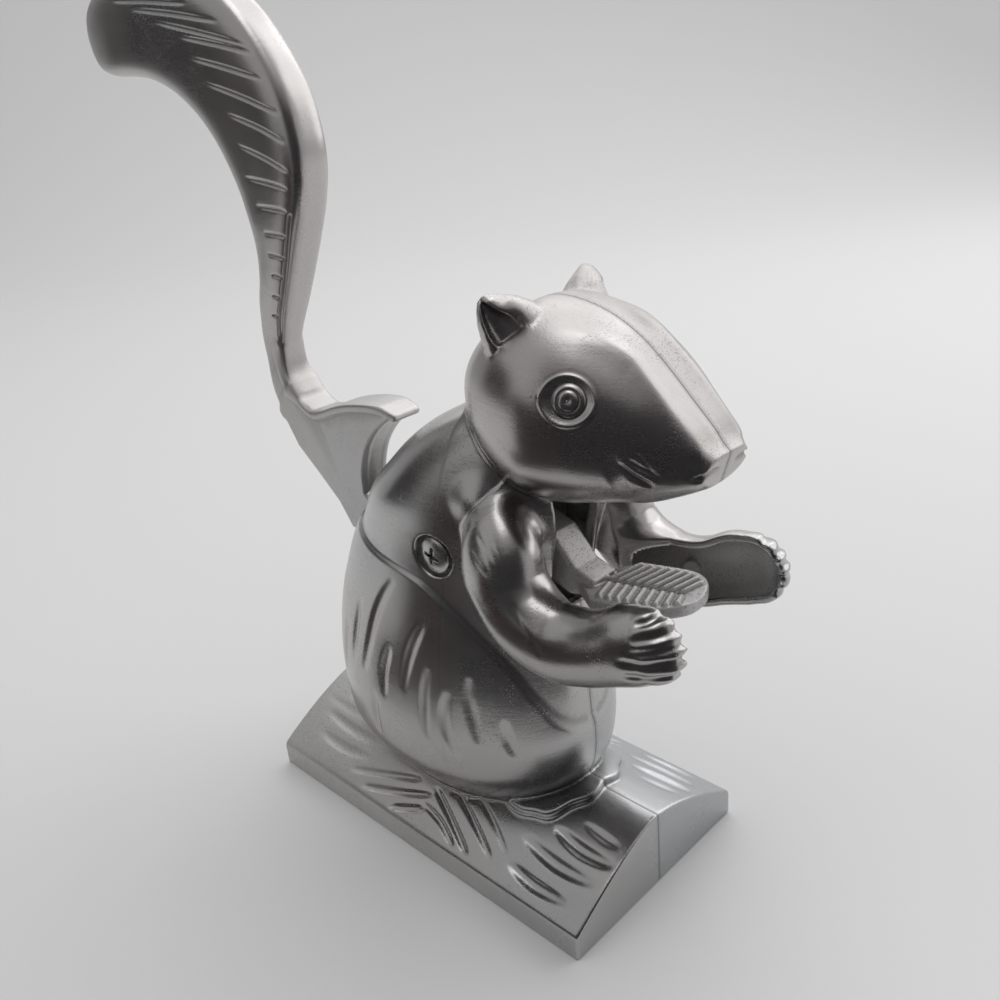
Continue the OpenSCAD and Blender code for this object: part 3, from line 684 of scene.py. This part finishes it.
def lever_field():
    """Field of the whole lever: tail, plate, flange, hub, neck and pad."""
    g = Grid((-13.25, -82, 82), (13.5, 162, 252.5), STEP * 0.86)
    X, Y, Z = np.abs(g.x), g.y, g.z
    y2, z2 = g.y[0], g.z[0]
    run = smooth_run(TAIL)
    mid = (run[:, 0:2] + run[:, 2:4]) / 2
    half = np.hypot(run[:, 0] - run[:, 2], run[:, 1] - run[:, 3]) / 2
    ring = np.concatenate([run[:, 0:2], run[::-1, 2:4]])
    flat = outline(y2, z2, ring)
    _, place = along(y2, z2, mid)
    b = np.interp(place, np.arange(len(run)), half)
    w = np.interp(place, np.arange(len(run)), run[:, 4])
    e = widen(np.maximum(0, 1 + flat / np.maximum(b, 1)))
    w = widen(w)
    p = 3.7
    tail = g.unit((((X / w) ** p + e ** p) ** (1 / p) - 1) * 6)
    tail = smax(tail, widen(flat) - 0.5, 1.5)
    # flange on the sail-shaped plate
    run = smooth_run(np.array(FLANGE) + [0, -1.2, 0], 4)
    d, place = along(y2, z2, run[:, :2])
    wide = widen(np.interp(place, np.arange(len(run)), run[:, 2]))
    flange = smax(widen(d) - 1.2, X - wide, 0.8)
    arc = smooth_run(ARC, 4)
    rim = [s[:2] for s in FLANGE[3:]]
    sail = widen(outline(y2, z2, [(71, 126), *rim, *arc, *PLATE_TOP, *PLATE_BOTTOM]))
    channel = widen(outline(y2, z2, [*arc, (28, 92), (32, 106), (26, 117), (20, 122)]))
    plate = smax(sail, X - 5, 1.0)
    plate = smax(plate, -smax(channel, X - 2.6, 0.4), 0.5)
    neck = smax(widen(outline(y2, z2, NECK)), X - 5, 1.4)
    hub = widen(off_axis(PIVOT, y2, z2))
    body = smin(tail, plate, 3)
    body = smin(body, flange, 0.5 + 2.0 * step01(Y, 66, 74))
    body = smin(body, neck, 1.5)
    body = smin(body, smax(hub - 9, X - 5.5, 0.5), 0.8)
    # grooves of the tail
    for sx in (-1, 1):
        for i, line in enumerate(TAIL_GROOVES):
            fur = i < 8 or i > 12
            pts = [(sx * 7.6, y, z) for y, z in line]
            g.groove(body, pts, 1.3 if fur else 1.0, 0.5, 0.15, 3 if fur else 8)
        g.groove(body, [(sx * 6.6, 53.6, 179.9), (sx * 6.8, 54.6, 178.6), (sx * 6.4, 57.4, 172.7),
                        (sx * 6.1, 61, 165.2), (sx * 5.5, 64.8, 158.2), (sx * 4.8, 70.7, 147.7),
                        (sx * 4.4, 73.4, 140)], 1.2, 0.6, 0.15, 8)
    # pad: a shallow V with ribs on each side
    long, wide, pitch = 32.5, 11.5, 2.75
    u = Y + 46
    t = np.clip(-u / long, 0, 1)
    crease = 91.5 + 5.3 * t
    share = np.where(t < 0.25, 0.45 + 2.2 * t, np.where(t < 0.6, 1, np.sqrt(np.maximum(
        0.0, 1 - (np.maximum(t - 0.6, 0) / 0.405) ** 2.4))))
    rim = (X - wide * share) * 0.8 + 0 * Z
    rim = np.maximum(rim, -u - 32.4)
    rim = np.maximum(rim, u)
    surface = crease + 1.4 * X / wide
    rows = (Y + 0.42 * X + 50.3 + np.where(g.x < 0, 1.3, 0)) / pitch
    wave = np.abs(rows - np.round(rows)) * pitch
    inside = step01(wide * share - X, 1.2, 2.0) * (rows < 0.5) * (rows > -8.5)
    ribs = 0.95 * (1 - step01(wave, 0.55, 1.0)) * inside
    ribs = ribs * step01(X, 0.3, 0.8)
    pad = smax(Z - surface - ribs, surface - 3.2 - Z, 0.5)
    pad = smax(pad, rim.astype(np.float32), 0.7)
    body = smin(body, pad, 0.7)
    return g, smax(body, PIVOT_BORE - hub, 0.3)


lever_grid, lever = lever_field()


def unpolished(points):
    """The lever is left as cast on its neck and pad, and only brushed on its plate."""
    raw = np.maximum(step01(-points[:, 1], -22, -10), 0.35 * step01(-points[:, 2], -140, -124))
    return raw, 0 * raw


tail = casting(["casting.tail_lever"], lever_grid, lever, 190000, raw=unpolished)
del lever

# ---------------------------------------------------------------- fasteners

# Free grid round a fastener
EDGE = 0.6


def pan_field(shank, length, head_d, head_h, thread_from):
    """A pan head with a cross recess, its seat on x = 0 and its threaded shank towards +X."""
    r = head_d / 2
    g = Grid((-head_h - EDGE, -r - EDGE, -r - EDGE), (length + EDGE, r + EDGE, r + EDGE), FINE)
    X, Y, Z = g.x, g.y, g.z
    rad = np.sqrt(Y * Y + Z * Z)
    crown = head_h * (1 - 0.32 * (rad / r) ** 2.6)
    head = smax(smax(-X - crown, X, 0.15), rad - r, 0.6)
    pitch = shank * 0.16
    turn = np.arctan2(Z, Y) / (2 * np.pi)
    cut = np.abs((X / pitch - turn) - np.round(X / pitch - turn)) * 2
    cut = (0.32 * pitch) * cut * step01(X, thread_from - 0.4, thread_from + 0.4)
    shaft = smax((rad - shank / 2 + cut) * 0.8, X - length, 0.3)
    shaft = np.maximum(shaft, -X - 0.5)
    field = smin(head, shaft, 0.1)
    deep = -head_h + head_h * 0.55
    narrow = 0.055 * head_d
    for a, b in ((Y, Z), (Z, Y)):
        slope = (X + head_h) * 0.35
        arm = np.maximum(np.abs(a) - 0.27 * head_d + slope, np.abs(b) - narrow + slope * 0.15)
        field = smax(field, -np.maximum(arm, X - deep), 0.12)
    return g, field


def nut_field(flat, tall, bore):
    """A hex nut with chamfered corners and mouths, from x = 0 towards +X."""
    r = flat / math.sqrt(3)
    g = Grid((-EDGE, -r - EDGE, -r - EDGE), (tall + EDGE, r + EDGE, r + EDGE), FINE)
    X, Y, Z = g.x, g.y, g.z
    rad = np.sqrt(Y * Y + Z * Z)
    ang = [math.radians(30 + 60 * i) for i in range(6)]
    hexa = np.max(np.stack([Y * math.cos(a) + Z * math.sin(a) - flat / 2 for a in ang]), 0)
    end = np.abs(X - tall / 2) - tall / 2
    field = smax(hexa, end, 0.15)
    field = smax(field, rad + np.maximum(end + 0.9, 0) * 1.6 - r * 0.99 - 0.25, 0.1)
    return g, smax(field, bore + np.maximum(end + 0.5, 0) - rad, 0.1)


def washer_field(radius, bore):
    """A flat washer with soft edges, from x = 0 towards +X."""
    out = radius + EDGE
    g = Grid((-WASHER / 2, -out, -out), (1.5 * WASHER, out, out), FINEST)
    rad = np.sqrt(g.y ** 2 + g.z ** 2) + 0 * g.x
    end = np.abs(g.x - WASHER / 2) - WASHER / 2
    return g, smax(smax(end + 0 * rad, rad - radius, 0.25), bore - rad, 0.15)


def fastener(name, made, triangles, x, axis, turn=0.0, about="X"):
    """A fastener meshed from its grid and field, turned, and set at x on an axis."""
    ob = casting([name], *made, triangles)[0]
    move = Matrix.Translation((x * MM, axis[0] * MM, axis[1] * MM))
    ob.data.transform(move @ Matrix.Rotation(turn, 4, about))
    return ob


pivot_screw = fastener("fastener.pivot_screw", pan_field(5.0, 48.5, 10.4, 3.4, 38), 60000,
                       -PIVOT_SEAT, PIVOT, 0.2)
tie_screw = fastener("fastener.tie_screw", pan_field(4.0, 40.0, 8.0, 2.6, 22), 40000,
                     TIE_SEAT, TIE, math.pi, "Z")
pivot_nut = fastener("fastener.pivot_nut", nut_field(8.0, 4.0, PIVOT_BORE), 20000, PIVOT_SEAT + WASHER, PIVOT)
pivot_washer = fastener("fastener.pivot_washer", washer_field(5, PIVOT_BORE), 12000, PIVOT_SEAT, PIVOT)

# ---------------------------------------------------------------- materials


def nodes_of(name):
    m = bpy.data.materials.new(name)
    m.use_nodes = True
    t = m.node_tree
    return m, t, t.nodes["Principled BSDF"]


def add(t, kind, **values):
    """A node with its inputs or settings."""
    n = t.nodes.new(kind)
    for k, v in values.items():
        if k in n.inputs and kind != "ShaderNodeAttribute":
            n.inputs[k].default_value = v
        else:
            setattr(n, k, v)
    return n


def ramp(t, source, stops):
    """A colour ramp over a socket; each stop is a place and a grey or a colour."""
    n = t.nodes.new("ShaderNodeValToRGB")
    while len(n.color_ramp.elements) < len(stops):
        n.color_ramp.elements.new(0.5)
    for e, (at, c) in zip(n.color_ramp.elements, stops):
        e.position = at
        e.color = (c, c, c, 1) if isinstance(c, (int, float)) else (*c, 1)
    t.links.new(source, n.inputs[0])
    return n.outputs[0]


def mixed(t, kind, factor, low, high, way="MIX"):
    """A Mix node; low and high are sockets or values."""
    n = t.nodes.new("ShaderNodeMix")
    n.data_type = kind
    if kind == "RGBA":
        n.blend_type = way
    at = {"RGBA": (6, 7, 2), "FLOAT": (2, 3, 0)}[kind]
    for i, v in ((0, factor), (at[0], low), (at[1], high)):
        if isinstance(v, bpy.types.NodeSocket):
            t.links.new(v, n.inputs[i])
        else:
            n.inputs[i].default_value = v
    return n.outputs[at[2]]


def maths(t, way, *values):
    """A Math node over sockets or values."""
    n = t.nodes.new("ShaderNodeMath")
    n.operation = way
    for i, v in enumerate(values):
        if isinstance(v, bpy.types.NodeSocket):
            t.links.new(v, n.inputs[i])
        else:
            n.inputs[i].default_value = v
    return n.outputs[0]


def cast_metal(name, base, rough, oxide, crease_shade_and_joint):
    """Cast aluminium: polished to a satin with lap marks and open pits, and grainy where it is left as cast.
    oxide is how dull the raw metal's skin is, and the last argument how dark the painted shade in the creases
    and the joint's dark line are."""
    m, t, b = nodes_of(name)
    L = t.links.new
    co = add(t, "ShaderNodeTexCoord").outputs["Object"]

    def noise(scale, detail, rough=0.6, vector=co):
        n = add(t, "ShaderNodeTexNoise", Scale=scale, Detail=detail, Roughness=rough)
        L(vector, n.inputs["Vector"])
        return n.outputs["Fac"]

    hollow = add(t, "ShaderNodeAttribute", attribute_name="hollow").outputs["Fac"]
    raw = add(t, "ShaderNodeAttribute", attribute_name="raw").outputs["Fac"]
    cloud = noise(24.0, 5.0)
    wide = noise(9.0, 2.0)
    grain = noise(1100.0, 4.0, 0.7)
    sand = noise(2600.0, 2.0, 0.6)
    stretch = add(t, "ShaderNodeMapping", Scale=(60.0, 60.0, 900.0), Rotation=(0.5, 0.25, 0.3))
    L(co, stretch.inputs["Vector"])
    lap = noise(1.0, 4.0, 0.7, stretch.outputs[0])
    # pits stand in loose patches, thick and wide where the metal is raw
    patch = ramp(t, maths(t, "MULTIPLY_ADD", raw, 0.2, noise(70.0, 5.0, 0.7)), [(0.54, 0.0), (0.72, 1.0)])
    holes = []
    for scale, core, edge in ((1500.0, 0.12, 0.34), (800.0, 0.08, 0.24)):
        pit = add(t, "ShaderNodeTexVoronoi", Scale=scale)
        L(co, pit.inputs["Vector"])
        holes.append(ramp(t, pit.outputs["Distance"], [(core, 1.0), (edge, 0.0)]))
    holes = maths(t, "MAXIMUM", holes[0], maths(t, "MULTIPLY", holes[1], raw))
    holes = maths(t, "MULTIPLY", holes, patch)
    # colour
    tone = ramp(t, cloud, [(0.3, [c * f for c, f in zip(base, (0.90, 0.90, 0.92))]), (0.7, base)])
    tint = ramp(t, wide, [(0.38, (1.0, 0.95, 0.93)), (0.5, (1.0, 0.99, 0.975)), (0.62, (0.93, 0.96, 1.0))])
    tone = mixed(t, "RGBA", 0.8, tone, tint, "MULTIPLY")
    tone = mixed(t, "RGBA", maths(t, "MULTIPLY", sand, 0.35), tone, (0.30, 0.295, 0.29, 1.0))
    # painted shade: the hollow attribute darkens creases towards near black, as if shade fell there; it also
    # carries the joint's real dark line, and the pits are darkened as well
    dark = maths(t, "MAXIMUM", maths(t, "MULTIPLY", hollow, crease_shade_and_joint), maths(t, "MULTIPLY", holes, 0.55))
    tone = mixed(t, "RGBA", dark, tone, (0.10, 0.095, 0.09, 1.0))
    L(tone, b.inputs["Base Color"])
    # roughness
    shine = ramp(t, cloud, [(0.25, rough * 0.8), (0.75, rough * 1.3)])
    shine = maths(t, "ADD", shine, maths(t, "MULTIPLY", raw, 0.2))
    shine = maths(t, "ADD", shine, maths(t, "MULTIPLY", dark, 0.2))
    L(maths(t, "ADD", shine, maths(t, "MULTIPLY", lap, 0.06)), b.inputs["Roughness"])
    L(maths(t, "MULTIPLY_ADD", raw, -oxide, 1.0), b.inputs["Metallic"])
    # relief
    height = maths(t, "MULTIPLY", grain, maths(t, "MULTIPLY_ADD", raw, 1.6, 0.35))
    height = maths(t, "MULTIPLY_ADD", lap, 0.35, height)
    height = maths(t, "MULTIPLY_ADD", holes, -1.3, height)
    height = maths(t, "MULTIPLY_ADD", cloud, 1.2, height)
    bump = add(t, "ShaderNodeBump", Strength=0.22, Distance=0.0003)
    L(height, bump.inputs["Height"])
    L(bump.outputs[0], b.inputs["Normal"])
    return m


body_metal = cast_metal("cast_aluminium_polished", (0.575, 0.57, 0.565), 0.23, 0.45, 0.62)
lever_metal = cast_metal("cast_aluminium_lever", (0.59, 0.588, 0.585), 0.24, 0.45, 0.8)


def plated(name, base, rough):
    """Zinc plated steel with a faint grain."""
    m, t, b = nodes_of(name)
    L = t.links.new
    co = add(t, "ShaderNodeTexCoord").outputs["Object"]
    n = add(t, "ShaderNodeTexNoise", Scale=600.0, Detail=3.0)
    L(co, n.inputs["Vector"])
    L(ramp(t, n.outputs["Fac"], [(0.3, [c * 0.8 for c in base]), (0.7, base)]), b.inputs["Base Color"])
    L(ramp(t, n.outputs["Fac"], [(0.3, rough), (0.7, rough * 1.6)]), b.inputs["Roughness"])
    b.inputs["Metallic"].default_value = 1.0
    bump = add(t, "ShaderNodeBump", Strength=0.1, Distance=0.0002)
    L(n.outputs["Fac"], bump.inputs["Height"])
    L(bump.outputs[0], b.inputs["Normal"])
    return m


zinc = plated("zinc_plated_steel", (0.62, 0.62, 0.60), 0.22)

for ob, mat, body, names, where in (
        (right[0], body_metal, "squirrel", ["body_right"], "casting"),
        (right[1], body_metal, "squirrel", ["body_right"], "casting"),
        (left[0], body_metal, "squirrel", ["body_left"], "casting"),
        (left[1], body_metal, "squirrel", ["body_left"], "casting"),
        (tail[0], lever_metal, "lever", ["tail_lever"], "casting"),
        (pivot_screw, zinc, "squirrel", ["pivot_screw"], "fastener"),
        (tie_screw, zinc, "squirrel", ["tie_screw"], "fastener"),
        (pivot_nut, zinc, "squirrel", ["pivot_nut"], "fastener"),
        (pivot_washer, zinc, "squirrel", ["pivot_washer"], "fastener")):
    ob.data.materials.clear()
    ob.data.materials.append(mat)
    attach(ob, body)
    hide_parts(*names)
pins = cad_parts["locating_pins"]
pins.data.materials.clear()
pins.data.materials.append(zinc)

# ---------------------------------------------------------------- floor, light and camera

# Where the camera looks, in metres from here on
FORWARD = Vector((0.632, 0.655, -0.414))


def sheet(name, paper, verts, faces, colour):
    """A matt sheet of the studio."""
    me = bpy.data.meshes.new(name)
    me.from_pydata(verts, [], faces)
    m, _, b = nodes_of(paper)
    b.inputs["Base Color"].default_value = (*colour, 1)
    b.inputs["Roughness"].default_value = 0.9
    me.materials.append(m)
    ob = linked(name, me)
    return ob


def backdrop():
    """A seamless sweep: floor, curve and wall, square to the camera."""
    front, flat, bend, high, wide, parts = -3.0, 0.9, 0.9, 4.0, 4, 24
    away = Vector((FORWARD.x, FORWARD.y, 0)).normalized()
    across = Vector((away.y, -away.x, 0))
    profile = [(front, 0.0), (flat, 0.0)]
    for i in range(1, parts + 1):
        a = math.radians(90 * i / parts)
        profile.append((flat + bend * math.sin(a), bend * (1 - math.cos(a))))
    profile.append((flat + bend, high))
    verts, faces = [], []
    for d, z in profile:
        for s in (-wide, wide):
            verts.append(away * d + across * s + Vector((0, 0, z)))
    for i in range(len(profile) - 1):
        faces.append((2 * i, 2 * i + 1, 2 * i + 3, 2 * i + 2))
    sheet("backdrop", "backdrop_paper", verts, faces, (0.69, 0.69, 0.69)).data.shade_smooth()


backdrop()


def area(name, at, to, size, power):
    """A soft lamp that faces a place."""
    l = bpy.data.lights.new(name, "AREA")
    l.shape = "RECTANGLE"
    l.size, l.size_y = size
    l.energy = power
    ob = linked(name, l)
    ob.location = at
    ob.rotation_euler = (Vector(to) - Vector(at)).to_track_quat("-Z", "Y").to_euler()
    return ob


def flag(name, turn_from, turn_to, profile, colour):
    """A curved card round part of the object, as a photographer uses to draw edges on polished metal. Its
    profile is given as reach and height, and its turn in degrees. It is seen in the metal alone."""
    parts, tall = 24, len(profile)
    verts, faces = [], []
    for i in range(parts + 1):
        a = math.radians(turn_from + (turn_to - turn_from) * i / parts)
        verts += [(r * math.cos(a), r * math.sin(a), z) for r, z in profile]
    for i in range(parts):
        for j in range(tall - 1):
            k = i * tall + j
            faces.append((k, k + tall, k + tall + 1, k + 1))
    ob = sheet(name, name, verts, faces, colour)
    ob.visible_camera = False
    ob.visible_shadow = False
    ob.visible_diffuse = False


flag("dark_card_front", 178, 272, [(0.14, 0.002), (0.28, 0.03), (0.30, 0.38)], (0.03, 0.029, 0.031))
flag("grey_card_front", 170, 272, [(0.30, 0.38), (0.30, 0.62)], (0.26, 0.25, 0.25))
flag("dark_card_floor", 130, 178, [(0.12, 0.002), (0.20, 0.008)], (0.032, 0.023, 0.021))
flag("dark_card_side", 144, 178, [(0.20, 0.008), (0.45, 0.03), (0.45, 0.20)], (0.040, 0.028, 0.025))
flag("dark_card_back", 104, 139, [(0.60, 0.07), (0.60, 0.36)], (0.040, 0.034, 0.034))

AIM = (0, 0, 0.1)
area("key", (-0.1, 0.05, 1.3), (0, 0, 0.15), (0.6, 0.6), 1.6)
area("panel_right", (0.85, -0.36, 0.66), AIM, (1.0, 1.1), 4).visible_camera = False
area("panel_back", (1.14, 0.95, 0.72), AIM, (2.6, 1.2), 7).visible_camera = False
area("fill_left", (-0.8, 0.4, 1.2), (-0.2, 0, 0), (0.8, 0.8), 1.6).visible_glossy = False
area("soft_top", (0.5, 0.3, 1.05), AIM, (1.0, 1.0), 3.6).visible_camera = False

world = bpy.data.worlds.new("studio")
world.use_nodes = True
bpy.context.scene.world = world
bg = world.node_tree.nodes["Background"]
bg.inputs["Color"].default_value = (0.8, 0.8, 0.8, 1)
bg.inputs["Strength"].default_value = 0.6

cam_data = bpy.data.cameras.new("camera")
cam_data.sensor_width, cam_data.lens = 36, 36.33
cam_data.clip_start, cam_data.clip_end = 0.01, 50
cam = linked("camera", cam_data)
fwd = FORWARD.normalized()
rgt = Vector((0.6905, -0.7185, -0.0828))
rgt = (rgt - fwd * rgt.dot(fwd)).normalized()
upv = rgt.cross(fwd)
cam.matrix_world = Matrix(((rgt.x, upv.x, -fwd.x, -0.1742), (rgt.y, upv.y, -fwd.y, -0.1947),
                           (rgt.z, upv.z, -fwd.z, 0.2201), (0, 0, 0, 1)))
bpy.context.scene.camera = cam
bpy.context.scene.view_settings.view_transform = "Standard"
